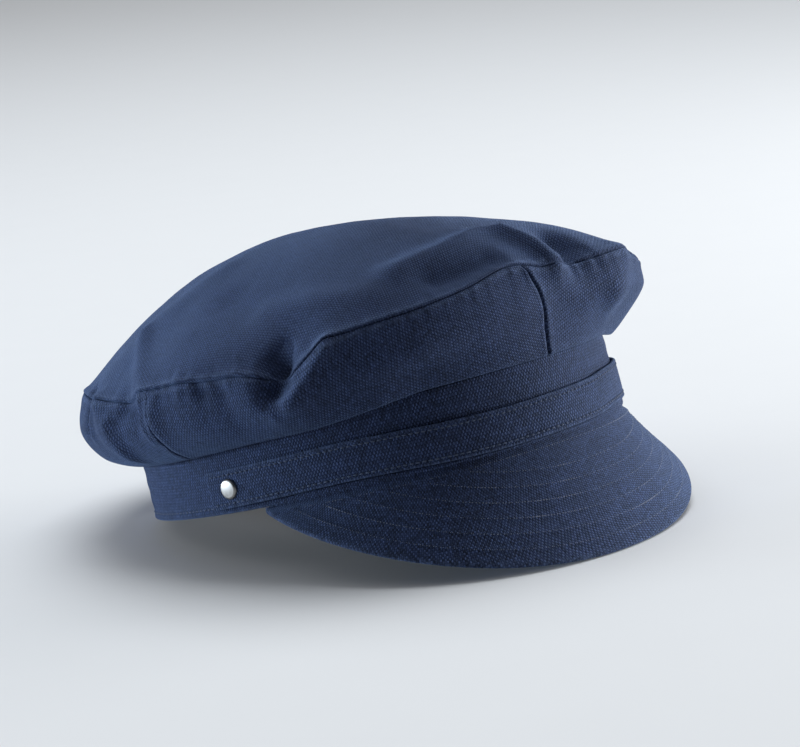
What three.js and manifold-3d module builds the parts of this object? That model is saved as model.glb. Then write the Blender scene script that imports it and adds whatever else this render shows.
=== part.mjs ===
// Breton fisherman cap in navy cotton canvas, standing by itself on a table.
// A soft crown of four side panels and a round top is sewn on a stiff band. A stitched strap
// runs round the front of the band between two rivets, over a curved visor.
// Millimetres. In the cap's own frame X is the wearer's left, -Y the front and Z up from the
// band's lower edge. The whole cap is then leaned back until it stands on its visor and band.

import * as THREE from 'three';
import { mergeVertices } from 'three/addons/utils/BufferGeometryUtils.js';
import Module from 'manifold-3d';

const wasm = await Module();
wasm.setup();

// Clearance between two pieces that meet
const gap = 0.3;

// Band
const bandLength = 208;
const bandBreadth = 174.6;
const bandHeight = 29;
const bandWall = 2.4;
const bandTaper = 0.4;

// Crown
const crownWall = 1.6;
const crownOverhang = 20;
const sideRise = 29;
const topRise = 39.5;
const hemDroop = 7;
const foldDepth = 6;
const apexBack = 9;
const apexRight = 9;

// Strap and its rivets
const strapWidth = 14.8;
const strapWall = 1.8;
const strapEndAngle = 94.5;
const rivetInset = 12;
const rivetDiameter = 8;
const rivetHeight = 1.8;
const rivetShank = 3;
const washerDiameter = 7;
const washerHeight = 0.8;

// Visor
const visorReach = 49.4;
const visorWall = 2.6;
const visorHalfAngle = { right: 81.3, left: 84 };
const visorSlope = 73.2;
const visorSlopeEase = { right: 39.6, left: 53 };
const visorFullness = { right: 2.23, left: 2.4 };

// How far the cloth is pressed flat where the cap stands on it
const contactFlat = 0.6;

// Angles go round the cap from its front: 90 is the wearer's right, 180 the back.
// Outward distances are shares of crownOverhang, heights are shares of sideRise above the band,
// droop is a share of hemDroop, and fullness rounds the top's edge over.
const crownSections = [
  { angle: 0, rimOut: 0.26, rimRise: 1.13, bellyOut: 0.26, bellyRise: 0.70, droop: 0.00, fullness: 0.34 },
  { angle: 12, rimOut: 0.32, rimRise: 1.27, bellyOut: 0.32, bellyRise: 0.74, droop: 0.00, fullness: 0.24 },
  { angle: 24, rimOut: 0.46, rimRise: 1.14, bellyOut: 0.44, bellyRise: 0.70, droop: 0.00, fullness: 0.18 },
  { angle: 36, rimOut: 0.60, rimRise: 1.05, bellyOut: 0.58, bellyRise: 0.60, droop: 0.00, fullness: 0.14 },
  { angle: 52, rimOut: 0.71, rimRise: 0.97, bellyOut: 0.73, bellyRise: 0.54, droop: 0.36, fullness: 0.10 },
  { angle: 64, rimOut: 0.70, rimRise: 0.64, bellyOut: 0.76, bellyRise: 0.32, droop: 0.60, fullness: 0.08 },
  { angle: 76, rimOut: 0.71, rimRise: 0.80, bellyOut: 0.82, bellyRise: 0.40, droop: 0.62, fullness: 0.06 },
  { angle: 90, rimOut: 0.72, rimRise: 0.85, bellyOut: 0.88, bellyRise: 0.40, droop: 0.74, fullness: 0.02 },
  { angle: 106, rimOut: 0.74, rimRise: 0.78, bellyOut: 0.93, bellyRise: 0.38, droop: 0.86, fullness: -0.06 },
  { angle: 122, rimOut: 0.76, rimRise: 0.85, bellyOut: 0.99, bellyRise: 0.40, droop: 0.88, fullness: -0.12 },
  { angle: 140, rimOut: 0.79, rimRise: 0.95, bellyOut: 1.05, bellyRise: 0.44, droop: 0.88, fullness: -0.15 },
  { angle: 165, rimOut: 0.88, rimRise: 0.90, bellyOut: 1.08, bellyRise: 0.44, droop: 0.85, fullness: -0.11 },
  { angle: 195, rimOut: 0.96, rimRise: 0.86, bellyOut: 1.12, bellyRise: 0.45, droop: 0.80, fullness: -0.03 },
  { angle: 225, rimOut: 1.02, rimRise: 0.86, bellyOut: 1.15, bellyRise: 0.48, droop: 0.70, fullness: 0.03 },
  { angle: 255, rimOut: 1.05, rimRise: 0.84, bellyOut: 1.18, bellyRise: 0.48, droop: 0.60, fullness: 0.07 },
  { angle: 285, rimOut: 1.06, rimRise: 0.80, bellyOut: 1.17, bellyRise: 0.50, droop: 0.50, fullness: 0.14 },
  { angle: 305, rimOut: 1.08, rimRise: 0.79, bellyOut: 1.12, bellyRise: 0.52, droop: 0.36, fullness: 0.24 },
  { angle: 320, rimOut: 1.08, rimRise: 0.80, bellyOut: 1.07, bellyRise: 0.54, droop: 0.28, fullness: 0.25 },
  { angle: 336, rimOut: 0.80, rimRise: 1.05, bellyOut: 0.80, bellyRise: 0.62, droop: 0.00, fullness: 0.32 },
  { angle: 348, rimOut: 0.48, rimRise: 1.10, bellyOut: 0.50, bellyRise: 0.66, droop: 0.00, fullness: 0.38 },
];

// The dome of the top, without the rim's own dips, in the same shares
const evenRimOut = 0.95;
const evenRimRise = 0.92;

// Each fold runs straight from one place on the crown to another. A level is 0 at the band,
// 1 at the rim and 2 at the middle of the top. Width is in shares of sideRise, height in shares
// of foldDepth, with dents below zero.
const folds = [
  { name: 'front top ridge', angle: 3, level: 1.25, toAngle: 33, toLevel: 1.20, width: 0.26, height: 0.50 },
  { name: 'front top dent', angle: 13, level: 1.08, toAngle: 27, toLevel: 1.10, width: 0.26, height: -0.60 },
  { name: 'left front ridge', angle: -2, level: 1.21, toAngle: -2, toLevel: 0.95, width: 0.20, height: 0.60 },
  { name: 'left front dent', angle: -13, level: 1.12, toAngle: -10, toLevel: 1.03, width: 0.24, height: -0.90 },
  { name: 'left front panel ridge', angle: -25, level: 0.98, toAngle: -20, toLevel: 0.80, width: 0.24, height: 0.40 },
  { name: 'side top ridge', angle: 66, level: 1.24, toAngle: 43, toLevel: 1.13, width: 0.30, height: 0.32 },
  { name: 'side top hollow', angle: 78, level: 1.33, toAngle: 72, toLevel: 1.26, width: 0.42, height: -0.40 },
  { name: 'side rim dent', angle: 64, level: 1.10, toAngle: 67, toLevel: 0.88, width: 0.26, height: -1.00 },
  { name: 'side panel ridge', angle: 54, level: 0.96, toAngle: 68, toLevel: 0.78, width: 0.15, height: 0.40 },
  { name: 'side panel dent', angle: 81, level: 0.92, toAngle: 77, toLevel: 0.84, width: 0.24, height: -0.35 },
  { name: 'right seam ridge', angle: 112, level: 1.26, toAngle: 96, toLevel: 0.88, width: 0.18, height: 0.38 },
  { name: 'back right dent', angle: 108, level: 0.98, toAngle: 101, toLevel: 0.90, width: 0.20, height: -0.62 },
  { name: 'back right ridge', angle: 119, level: 0.98, toAngle: 110, toLevel: 0.68, width: 0.14, height: 0.50 },
  { name: 'back right top ridge', angle: 94, level: 1.59, toAngle: 122, toLevel: 1.10, width: 0.34, height: 0.25 },
  { name: 'back dent', angle: 163, level: 1.12, toAngle: 158, toLevel: 0.84, width: 0.34, height: -0.60 },
  { name: 'back left dent', angle: 208, level: 1.10, toAngle: 214, toLevel: 0.82, width: 0.36, height: -0.70 },
  { name: 'left top ridge', angle: 236, level: 1.30, toAngle: 262, toLevel: 1.08, width: 0.36, height: 0.45 },
  { name: 'left rim dent', angle: 281, level: 1.10, toAngle: 286, toLevel: 0.84, width: 0.34, height: -0.70 },
  { name: 'left front rim dent', angle: 312, level: 1.12, toAngle: 309, toLevel: 0.88, width: 0.34, height: -0.45 },
];

// Where the upright seams stand at the band and at the rim, and the level where they start to lean.
// Rim angles are whole steps of angleStep, so that the side panels' columns meet the top's.
const seamLeanStart = 0.75;
const crownSeams = [
  { angle: 4, rimAngle: 8 },
  { angle: 96, rimAngle: 96 },
  { angle: 180, rimAngle: 180 },
  { angle: 258, rimAngle: 264 },
];

// The strap's lower edge, as a share of the room that it leaves on the band
const strapPath = [
  { angle: -100, lift: 0.14 },
  { angle: -75, lift: 0.20 },
  { angle: -45, lift: 0.24 },
  { angle: -20, lift: 0.20 },
  { angle: -8, lift: 0.10 },
  { angle: 4, lift: 0.06 },
  { angle: 20, lift: 0.04 },
  { angle: 32, lift: 0.07 },
  { angle: 46, lift: 0.16 },
  { angle: 60, lift: 0.22 },
  { angle: 78, lift: 0.19 },
  { angle: 100, lift: 0.14 },
];

// Mesh steps
const angleStep = 4;
const sideLevels = [0, 1 / 6, 2 / 6, 2.5 / 6, 3 / 6, 3.5 / 6, 4 / 6, 4.5 / 6, 5 / 6, 5.5 / 6, 1];
const topLevels = [1, 1.045, 1.1, 1.16, 1.24, 1.35, 1.5, 1.7];
const visorSteps = { across: 44, down: 5 };
const rivetSides = 16;

const canvas = new THREE.MeshStandardMaterial({ color: 0x32405f, roughness: 0.92, metalness: 0 });
const visorCanvas = new THREE.MeshStandardMaterial({ color: 0x2c3855, roughness: 0.88, metalness: 0 });
const steel = new THREE.MeshStandardMaterial({ color: 0xc4c6c9, roughness: 0.3, metalness: 1 });

// Half sizes of the band's upper edge, which every outward distance starts from
const upperHalfLength = bandLength / 2 - bandTaper;
const upperHalfBreadth = bandBreadth / 2 - bandTaper;
const crownSeat = bandHeight + gap;

const radians = THREE.MathUtils.degToRad;
const lerp = THREE.MathUtils.lerp;
const clamp = THREE.MathUtils.clamp;

// Signed difference of two angles in degrees
function turnBetween(from, to) {
  return ((((to - from) % 360) + 540) % 360) - 180;
}

// Tangent between two slopes that lets a curve through values never overshoot them
function limitedTangent(before, after) {
  return before * after > 0 ? (2 * before * after) / (before + after) : 0;
}

// Cubic from one value to the next, with a tangent at each end
function easedBetween(a, b, startTangent, endTangent, share) {
  const rest = 1 - share;
  const bend = share * share * (3 - 2 * share);
  return lerp(a, b, bend) + startTangent * share * rest * rest - endTangent * share * share * rest;
}

// Smooth value of a table's column at an angle, with no overshoot between the rows
function columnAt(rows, column, angle, closed) {
  const n = rows.length;
  const span = closed ? 360 : Infinity;
  const place = closed ? ((angle % 360) + 360) % 360 : clamp(angle, rows[0].angle, rows[n - 1].angle);
  const row = (i) => {
    if (!closed) return { angle: rows[clamp(i, 0, n - 1)].angle, value: rows[clamp(i, 0, n - 1)][column] };
    const turns = Math.floor(i / n);
    const source = rows[i - turns * n];
    return { angle: source.angle + turns * span, value: source[column] };
  };
  let i = 0;
  while (i < n - 1 && rows[i + 1].angle <= place) i += 1;
  if (!closed) i = Math.min(i, n - 2);
  const slope = (k) => {
    const step = row(k + 1).angle - row(k).angle;
    return step > 0 ? (row(k + 1).value - row(k).value) / step : 0;
  };
  const tangent = (k) => limitedTangent(slope(k - 1), slope(k));
  const a = row(i);
  const b = row(i + 1);
  const width = b.angle - a.angle;
  return easedBetween(a.value, b.value, tangent(i) * width, tangent(i + 1) * width, (place - a.angle) / width);
}

// Point of the band's upper edge moved outward and set at a height
function ringPoint(angle, out, height) {
  const t = radians(angle);
  const x = -upperHalfBreadth * Math.sin(t);
  const y = -upperHalfLength * Math.cos(t);
  const normal = new THREE.Vector2(-Math.sin(t) / upperHalfBreadth, -Math.cos(t) / upperHalfLength).normalize();
  return new THREE.Vector3(x + out * normal.x, y + out * normal.y, height);
}

// The band leans in by its taper, so its outer face stands out more at a lower height
function bandOut(height) {
  return bandTaper * (1 - height / bandHeight);
}

// Smooth value through a few evenly spaced values, at a place from 0 to 1 along them
function throughPoints(values, place) {
  const last = values.length - 1;
  const scaled = clamp(place, 0, 1) * last;
  const i = Math.min(Math.floor(scaled), last - 1);
  const step = (k) => values[clamp(k + 1, 0, last)] - values[clamp(k, 0, last)];
  const startTangent = i > 0 ? limitedTangent(step(i - 1), step(i)) : step(i);
  const endTangent = i < last - 1 ? limitedTangent(step(i), step(i + 1)) : step(i);
  return easedBetween(values[i], values[i + 1], startTangent, endTangent, scaled - i);
}

// Outer face of a side panel: over the band's edge, down in a soft fold, and out to the belly
function sidePoint(angle, level) {
  const value = (column) => columnAt(crownSections, column, angle, true);
  const droop = value('droop') * hemDroop;
  const bellyOut = value('bellyOut') * crownOverhang;
  const bellyHeight = crownSeat + value('bellyRise') * sideRise;
  const edgeOut = bandOut(crownSeat - droop) + gap;
  // Where the cloth doesn't droop it turns straight up from the band's edge
  const hang = Math.min(droop / crownWall, 1);
  const turnOut = edgeOut - lerp(0.6, 0, hang) * crownWall;
  const hangOut = edgeOut + lerp(0, 0.25, hang) * crownWall;
  const hangHeight = crownSeat - 0.55 * droop;
  const foldOut = edgeOut + lerp(0.6, 1.75, hang) * crownWall;
  const foldHeight = crownSeat - droop;
  // A drooping panel is fuller under its belly than one that stands up
  const lowOut = lerp(foldOut, bellyOut, lerp(0.46, 0.68, value('droop')));
  const lowHeight = lerp(foldHeight, bellyHeight, lerp(0.44, 0.30, value('droop')));
  const rimOut = value('rimOut') * crownOverhang;
  const rimHeight = crownSeat + value('rimRise') * sideRise;
  const outs = [gap - bandWall, turnOut, hangOut, foldOut, lowOut, bellyOut, rimOut];
  const heights = [crownSeat, crownSeat, hangHeight, foldHeight, lowHeight, bellyHeight, rimHeight];
  return ringPoint(angle, throughPoints(outs, level), throughPoints(heights, level));
}

// Outer face of the round top, from the rim at level 1 to its middle at level 2. It is an even
// dome, and what the rim has of its own dies out towards the middle.
function topPoint(angle, level) {
  const value = (column) => columnAt(crownSections, column, angle, true);
  const share = clamp(2 - level, 0, 1);
  const apex = new THREE.Vector3(-apexRight, apexBack, crownSeat + sideRise + topRise);
  const even = ringPoint(angle, evenRimOut * crownOverhang, crownSeat + evenRimRise * sideRise);
  const rim = ringPoint(angle, value('rimOut') * crownOverhang, crownSeat + value('rimRise') * sideRise);
  const drop = apex.z - even.z;
  const own = share ** 5;
  const x = lerp(apex.x, even.x, share) + (rim.x - even.x) * own;
  const y = lerp(apex.y, even.y, share) + (rim.y - even.y) * own;
  const shoulder = value('fullness') * 1.3 * drop * share ** 4 * (1 - share ** 3);
  return new THREE.Vector3(x, y, apex.z - drop * share ** 2 + (rim.z - even.z) * own + shoulder);
}

function smoothCrown(angle, level) {
  return level > 1 ? topPoint(angle, level) : sidePoint(angle, level);
}

// Distance along the cloth from the band, used to measure how far a point is from a fold
const sideCloth = 1.45 * sideRise;
const topCloth = bandLength / 2 + crownOverhang;

function clothHeight(level) {
  return level > 1 ? sideCloth + (level - 1) * topCloth : level * sideCloth;
}

function clothRadius(level) {
  return level > 1 ? (2 - level) * topCloth : lerp(upperHalfBreadth, topCloth, level);
}

// Height of the folds at a point of the crown
function foldHeightAt(angle, level) {
  let height = 0;
  for (const fold of folds) {
    const perDegree = radians(1) * clothRadius((fold.level + fold.toLevel) / 2);
    const along = turnBetween(fold.angle, fold.toAngle) * perDegree;
    const up = clothHeight(fold.toLevel) - clothHeight(fold.level);
    const x = turnBetween(fold.angle, angle) * perDegree;
    const y = clothHeight(level) - clothHeight(fold.level);
    const share = clamp((x * along + y * up) / (along * along + up * up), 0, 1);
    const distance = Math.hypot(x - share * along, y - share * up) / (fold.width * sideRise);
    height += fold.height * foldDepth * Math.exp(-distance * distance);
  }
  // The seam on the band holds the cloth, so folds fade out there
  return height * THREE.MathUtils.smoothstep(level, 0.45, 0.8);
}

// Unit vector out of the cloth, from points a little to each side
function outwardNormal(point, angle, level) {
  const angleReach = 0.6;
  const levelReach = 0.02;
  const low = Math.max(level - levelReach, 0);
  const high = Math.min(level + levelReach, 1.97);
  const round = point(angle + angleReach, level).sub(point(angle - angleReach, level));
  const up = point(angle, high).sub(point(angle, low));
  return up.cross(round).normalize();
}

// A crown point with its folds, moved in by a share of the wall
function crownPoint(angle, level, depth) {
  const flatMiddle = Math.min(level, 1.95);
  const normal = outwardNormal(smoothCrown, angle, flatMiddle);
  return smoothCrown(angle, level).addScaledVector(normal, foldHeightAt(angle, level) - depth);
}

// Step along the cloth, square to the rim, that opens the clearance between side and top
function offRim(angle, distance) {
  const reach = 0.6;
  const round = crownPoint(angle + reach, 1, 0).sub(crownPoint(angle - reach, 1, 0));
  const normal = outwardNormal(smoothCrown, angle, 1);
  return round.cross(normal).setLength(distance);
}

// Closed wall from a grid of outer points and the same grid of inner points.
// Rows run up the cloth and columns round it; a ring closes on itself, and a pole closes the top.
function wallGeometry(rows, columns, pointAt, { ring = false, pole = null } = {}) {
  const positions = [];
  const triangles = [];
  const perSide = rows * columns;
  for (const depth of [0, 1]) {
    for (let row = 0; row < rows; row += 1) {
      for (let column = 0; column < columns; column += 1) {
        positions.push(...pointAt(row, column, depth).toArray());
      }
    }
  }
  const index = (row, column, depth) => depth * perSide + row * columns + (column % columns);
  const quad = (a, b, c, d) => {
    triangles.push(a, b, c, a, c, d);
  };
  const spans = ring ? columns : columns - 1;
  for (let row = 0; row < rows - 1; row += 1) {
    for (let column = 0; column < spans; column += 1) {
      const next = column + 1;
      quad(index(row, column, 0), index(row + 1, column, 0), index(row + 1, next, 0), index(row, next, 0));
      quad(index(row, column, 1), index(row, next, 1), index(row + 1, next, 1), index(row + 1, column, 1));
    }
  }
  for (let column = 0; column < spans; column += 1) {
    const next = column + 1;
    quad(index(0, column, 0), index(0, next, 0), index(0, next, 1), index(0, column, 1));
    if (pole) continue;
    const top = rows - 1;
    quad(index(top, column, 0), index(top, column, 1), index(top, next, 1), index(top, next, 0));
  }
  if (!ring) {
    const end = columns - 1;
    for (let row = 0; row < rows - 1; row += 1) {
      quad(index(row, 0, 0), index(row, 0, 1), index(row + 1, 0, 1), index(row + 1, 0, 0));
      quad(index(row, end, 0), index(row + 1, end, 0), index(row + 1, end, 1), index(row, end, 1));
    }
  }
  if (pole) {
    const tips = [0, 1].map((depth) => {
      positions.push(...pole(depth).toArray());
      return positions.length / 3 - 1;
    });
    for (let column = 0; column < columns; column += 1) {
      triangles.push(index(rows - 1, column, 0), tips[0], index(rows - 1, column + 1, 0));
      triangles.push(index(rows - 1, column, 1), index(rows - 1, column + 1, 1), tips[1]);
    }
  }
  const geometry = new THREE.BufferGeometry();
  geometry.setAttribute('position', new THREE.Float32BufferAttribute(positions, 3));
  geometry.setIndex(triangles);
  return geometry;
}

function toSolid(geometry) {
  const bare = geometry.clone();
  bare.deleteAttribute('normal');
  bare.deleteAttribute('uv');
  const merged = mergeVertices(bare, 1e-4);
  const mesh = new wasm.Mesh({
    numProp: 3,
    vertProperties: new Float32Array(merged.attributes.position.array),
    triVerts: new Uint32Array(merged.index.array),
  });
  return new wasm.Manifold(mesh);
}

function fromSolid(solid) {
  const mesh = solid.getMesh();
  const geometry = new THREE.BufferGeometry();
  geometry.setAttribute('position', new THREE.BufferAttribute(new Float32Array(mesh.vertProperties), 3));
  geometry.setIndex(new THREE.BufferAttribute(new Uint32Array(mesh.triVerts), 1));
  return geometry;
}

function cutAway(geometry, tools) {
  const solid = tools.reduce((rest, tool) => rest.subtract(toSolid(tool)), toSolid(geometry));
  return fromSolid(solid);
}

// An upright seam is straight at the band and bends more and more to its place on the rim
function seamAngle(seam, level) {
  const share = clamp((level - seamLeanStart) / (1 - seamLeanStart), 0, 1) ** 3;
  return seam.angle + turnBetween(seam.angle, seam.rimAngle) * share;
}

// One side panel between two seams
function sidePanel(from, to) {
  const startAngle = (level) => seamAngle(from, level);
  const endAngle = (level) => seamAngle(to, level);
  const span = (endAngle(1) - startAngle(1) + 360) % 360;
  const columns = Math.round(span / angleStep) + 1;
  const pointAt = (row, column, depth) => {
    const level = sideLevels[row];
    const halfGap = (gap / 2 / clothRadius(level)) / radians(1);
    const start = startAngle(level) + halfGap;
    const end = start + ((endAngle(level) - halfGap - start + 720) % 360);
    const angle = lerp(start, end, column / (columns - 1));
    const point = crownPoint(angle, level, depth * crownWall);
    if (row === sideLevels.length - 1) point.sub(offRim(angle, gap / 2));
    return point;
  };
  return wallGeometry(sideLevels.length, columns, pointAt);
}

// The round top, which meets the side panels along the rim
function crownTop() {
  const columns = Math.round(360 / angleStep);
  const pointAt = (row, column, depth) => {
    const angle = (column * 360) / columns;
    const point = crownPoint(angle, topLevels[row], depth * crownWall);
    if (row === 0) point.add(offRim(angle, gap / 2));
    return point;
  };
  const pole = (depth) => {
    const middle = topPoint(0, 2);
    middle.z -= depth * crownWall;
    return middle;
  };
  return wallGeometry(topLevels.length, columns, pointAt, { ring: true, pole });
}

function bandGeometry() {
  const columns = Math.round(360 / angleStep);
  const heights = [0, bandHeight / 2, bandHeight];
  const pointAt = (row, column, depth) => {
    const height = heights[row];
    return ringPoint((column * 360) / columns, bandOut(height) - depth * bandWall, height);
  };
  return wallGeometry(heights.length, columns, pointAt, { ring: true });
}

function strapLowerEdge(angle) {
  const lift = columnAt(strapPath, 'lift', turnBetween(0, angle), false);
  return lift * (bandHeight - strapWidth);
}

function strapGeometry() {
  const columns = Math.round((2 * strapEndAngle) / angleStep) + 1;
  const pointAt = (row, column, depth) => {
    const angle = lerp(-strapEndAngle, strapEndAngle, column / (columns - 1));
    const height = strapLowerEdge(angle) + row * strapWidth;
    const out = bandOut(height) + gap + (1 - depth) * strapWall;
    return ringPoint(angle, out, height);
  };
  return wallGeometry(2, columns, pointAt);
}

// A rivet's place, half way up the strap and a little before its end
function rivetPlace(side) {
  const perDegree = radians(1) * (bandLength / 2);
  const angle = side * (strapEndAngle - rivetInset / perDegree);
  const height = strapLowerEdge(angle) + strapWidth / 2;
  const onBand = ringPoint(angle, bandOut(height), height);
  const outward = ringPoint(angle, bandOut(height) + 1, height).sub(onBand).normalize();
  return { onBand, outward };
}

// Turns a shape that stands on the Y axis so that it points out of the band
function alongRivet(object, side) {
  const { onBand, outward } = rivetPlace(side);
  const up = new THREE.Vector3(0, 1, 0);
  object.quaternion.setFromUnitVectors(up, outward);
  object.position.copy(onBand);
  object.updateMatrix();
  return object;
}

// Domed cap outside, shank through strap and band, flat washer inside
function rivetGeometry() {
  const capSeat = gap + strapWall + gap;
  const washerSeat = -bandWall - gap;
  const radius = rivetDiameter / 2;
  const profile = [
    [0, washerSeat - washerHeight],
    [washerDiameter / 2, washerSeat - washerHeight],
    [washerDiameter / 2, washerSeat],
    [rivetShank / 2, washerSeat],
    [rivetShank / 2, capSeat],
    [radius, capSeat],
    [radius, capSeat + 0.35 * rivetHeight],
    [0.8 * radius, capSeat + 0.76 * rivetHeight],
    [0.45 * radius, capSeat + 0.95 * rivetHeight],
    [0, capSeat + rivetHeight],
  ];
  return new THREE.LatheGeometry(profile.map(([r, h]) => new THREE.Vector2(r, h)), rivetSides);
}

// Clearance hole for a rivet's shank, through strap and band
function rivetHole(side) {
  const radius = rivetShank / 2 + gap;
  const length = 4 * (bandWall + strapWall);
  const hole = new THREE.Mesh(new THREE.CylinderGeometry(radius, radius, length, rivetSides));
  alongRivet(hole, side);
  return hole.geometry.applyMatrix4(hole.matrix);
}

// The visor hangs from the band's lower edge and slopes down and out, less steeply at its ends
function visorPoint(place, down, depth) {
  const side = place > 0 ? "right" : "left";
  const reach = visorReach * (1 - Math.abs(place) ** visorFullness[side]);
  const slope = radians(visorSlope - visorSlopeEase[side] * place * place);
  const angle = place * visorHalfAngle[side];
  const distance = down * reach;
  let out = bandTaper + distance * Math.cos(slope);
  let height = -gap - distance * Math.sin(slope);
  // The root stays flat under the band, and the wall turns square to the cloth below it
  const square = Math.min(down * 4, 1);
  out -= depth * visorWall * lerp(1, Math.sin(slope), square);
  height -= depth * visorWall * lerp(0, Math.cos(slope), square);
  return ringPoint(angle, out, height);
}

function visorGeometry() {
  const endPlace = 0.985;
  const { across, down } = visorSteps;
  const pointAt = (row, column, depth) => {
    const place = lerp(-endPlace, endPlace, column / across);
    return visorPoint(place, 1 - row / down, depth);
  };
  return wallGeometry(down + 1, across + 1, pointAt);
}

// The lean at which the visor's front edge and the back of the band stand on the table
function restLean() {
  const visorFoot = visorPoint(0, 1, 1);
  const bandFoot = ringPoint(180, bandOut(0), 0);
  return Math.atan2(bandFoot.z - visorFoot.z, bandFoot.y - visorFoot.y);
}

const lean = restLean();

// The table's top in the cap's own frame, as a thick block under the two feet
function tableBlock() {
  const foot = ringPoint(180, bandOut(0), 0);
  const size = 4 * bandLength;
  const block = new THREE.Mesh(new THREE.BoxGeometry(size, size, size));
  block.rotation.x = lean;
  const down = new THREE.Vector3(0, 0, -1).applyEuler(block.rotation);
  block.position.copy(foot).addScaledVector(down, size / 2 - contactFlat);
  block.updateMatrix();
  return block.geometry.applyMatrix4(block.matrix);
}

const cap = new THREE.Group();
cap.rotation.x = -lean;

function addPiece(name, geometry, material) {
  const mesh = new THREE.Mesh(geometry, material);
  mesh.name = name;
  cap.add(mesh);
  return mesh;
}

const panelNames = ['crown_front_right', 'crown_back_right', 'crown_back_left', 'crown_front_left'];
panelNames.forEach((name, i) => {
  const next = crownSeams[(i + 1) % crownSeams.length];
  addPiece(name, sidePanel(crownSeams[i], next), canvas);
});
addPiece('crown_top', crownTop(), canvas);

const sides = { right: 1, left: -1 };
const holes = Object.values(sides).map(rivetHole);
addPiece('band', cutAway(bandGeometry(), [...holes, tableBlock()]), canvas);
addPiece('strap', cutAway(strapGeometry(), holes), canvas);
addPiece('visor', cutAway(visorGeometry(), [tableBlock()]), visorCanvas);
for (const [name, side] of Object.entries(sides)) {
  alongRivet(addPiece(`rivet_${name}`, rivetGeometry(), steel), side);
}

// The origin is on the table, under the middle of the cap
const part = new THREE.Group();
part.add(cap);
part.updateMatrixWorld(true);
const reach = new THREE.Box3().setFromObject(part, true);
cap.position.set(-(reach.min.x + reach.max.x) / 2, -(reach.min.y + reach.max.y) / 2, -reach.min.z);

export default part;
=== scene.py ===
# The look of the breton fisherman cap: canvas pieces with sewn edges, stitches and rivets,
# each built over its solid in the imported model, and the studio that it stands in.
# Shapes are worked out in millimetres in the cap's own frame: X to the wearer's left, -Y to the
# front and Z up from the band's lower edge. to_world() then leans the cap back as it stands.

import math
from collections import namedtuple
import bmesh
import bpy
import numpy as np
from mathutils import Matrix, Vector, noise


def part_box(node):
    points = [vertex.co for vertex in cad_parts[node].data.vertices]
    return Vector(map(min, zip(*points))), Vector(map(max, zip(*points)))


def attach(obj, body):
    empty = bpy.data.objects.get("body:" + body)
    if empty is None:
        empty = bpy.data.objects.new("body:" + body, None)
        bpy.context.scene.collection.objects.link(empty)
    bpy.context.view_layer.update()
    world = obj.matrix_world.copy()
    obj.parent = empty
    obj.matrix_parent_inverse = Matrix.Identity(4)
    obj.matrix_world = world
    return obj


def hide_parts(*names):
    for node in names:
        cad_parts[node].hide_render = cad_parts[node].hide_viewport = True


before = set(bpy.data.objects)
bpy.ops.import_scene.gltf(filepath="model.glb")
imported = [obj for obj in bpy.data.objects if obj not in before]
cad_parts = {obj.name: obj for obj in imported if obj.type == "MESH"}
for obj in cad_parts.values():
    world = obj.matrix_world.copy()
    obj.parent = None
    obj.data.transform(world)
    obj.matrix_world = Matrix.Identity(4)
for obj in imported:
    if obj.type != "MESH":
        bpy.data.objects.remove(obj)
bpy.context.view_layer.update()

# Band
BAND_LENGTH = 208.0
BAND_BREADTH = 174.6
BAND_HEIGHT = 29.0
BAND_WALL = 2.4
BAND_TAPER = 0.4
BAND_EDGE = 0.9

# Crown
CROWN_SEAT = BAND_HEIGHT + 0.3
CROWN_WALL = 1.6
CROWN_OVERHANG = 20.0
SIDE_RISE = 29.0
TOP_RISE = 39.5
HEM_DROOP = 7.0
FOLD_DEPTH = 6.0
APEX_BACK = 9.0
APEX_RIGHT = 9.0

# Strap and rivets
STRAP_OFF = 0.3
STRAP_WIDTH = 14.8
STRAP_WALL = 1.8
STRAP_EDGE = 0.8
STRAP_END_ANGLE = 94.5
RIVET_INSET = 12.0
RIVET_DIAMETER = 8.0
RIVET_HEIGHT = 1.8
SHANK_RADIUS = 1.5
WASHER_RADIUS = 3.5
WASHER_WALL = 0.9

# Visor
VISOR_REACH = 49.4
VISOR_WALL = 2.6
VISOR_HALF_ANGLE = 81.3
VISOR_HALF_ANGLE_LEFT = 84.0
VISOR_SLOPE = 73.2
VISOR_SLOPE_EASE_RIGHT = 39.6
VISOR_SLOPE_EASE_LEFT = 53.0
VISOR_FULLNESS_RIGHT = 2.23
VISOR_FULLNESS_LEFT = 2.4
VISOR_END = 0.985
# The visor's cloth runs up over the band as a lip, which keeps this gap to the band and strap
LIP_WALL = 0.9
LIP_GAP = 0.3
# The visor's mean distance from the cap's middle, and the arc that it is cut as
VISOR_MEAN_RADIUS = 97.0
VISOR_PATTERN_RADIUS = 120.0

MM = 0.001
DEGREE = math.radians(1)

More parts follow.
